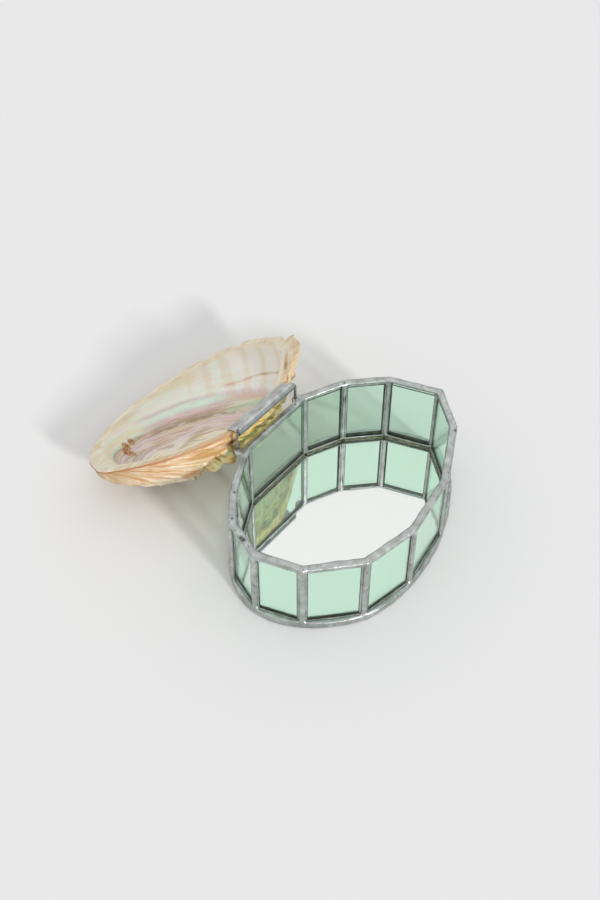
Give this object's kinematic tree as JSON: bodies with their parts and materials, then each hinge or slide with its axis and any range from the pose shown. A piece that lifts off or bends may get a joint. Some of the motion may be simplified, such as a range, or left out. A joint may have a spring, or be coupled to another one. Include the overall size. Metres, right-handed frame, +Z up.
{
  "type": "shell box",
  "caption": "Low oval keepsake box of pale green glass panels soldered on a mirror base, with a hollow sea shell as its hinged lid, turned right over behind the box.",
  "frame": {"origin": "underside of the mirror base, in the middle of the oval of the walls", "axes": "+X along the hinge, to the right when the hinge is at the back; +Y to the hinge side; +Z up. Stored with the lid fully open"},
  "size_m": [0.169, 0.2147, 0.0645],
  "materials": {
    "mirror": "polished, silvered on the underside",
    "green_glass": "clear, pale green, slightly wavy",
    "solder": "dull tin-lead solder, hand run, with pits",
    "hinge_wire": "tinned wire",
    "hinge_tube": "tinned tube",
    "hinge_solder": "smeared solder, matte",
    "shell": "natural shell: pearly inside, cream and orange ribs outside"
  },
  "bodies": {
    "box": {"mirror_base": "mirror", "glass_panel_01": "green_glass", "glass_panel_02": "green_glass", "glass_panel_03": "green_glass", "glass_panel_04": "green_glass", "glass_panel_05": "green_glass", "glass_panel_06": "green_glass", "glass_panel_07": "green_glass", "glass_panel_08": "green_glass", "glass_panel_09": "green_glass", "glass_panel_10": "green_glass", "glass_panel_11": "green_glass", "glass_panel_12": "green_glass", "glass_panel_13": "green_glass", "solder_frame": "solder", "hinge_rod": "hinge_wire"},
    "lid": {"hinge_tube": "hinge_tube", "hinge_solder": "hinge_solder", "shell_lid": "shell"}
  },
  "joints": [
    {"name": "lid_hinge", "type": "hinge", "parent": "box", "child": "lid", "pos_m": [0, 0.0576, 0.0621], "axis": [1, 0, 0], "range_deg": [0, 210]}
  ]
}
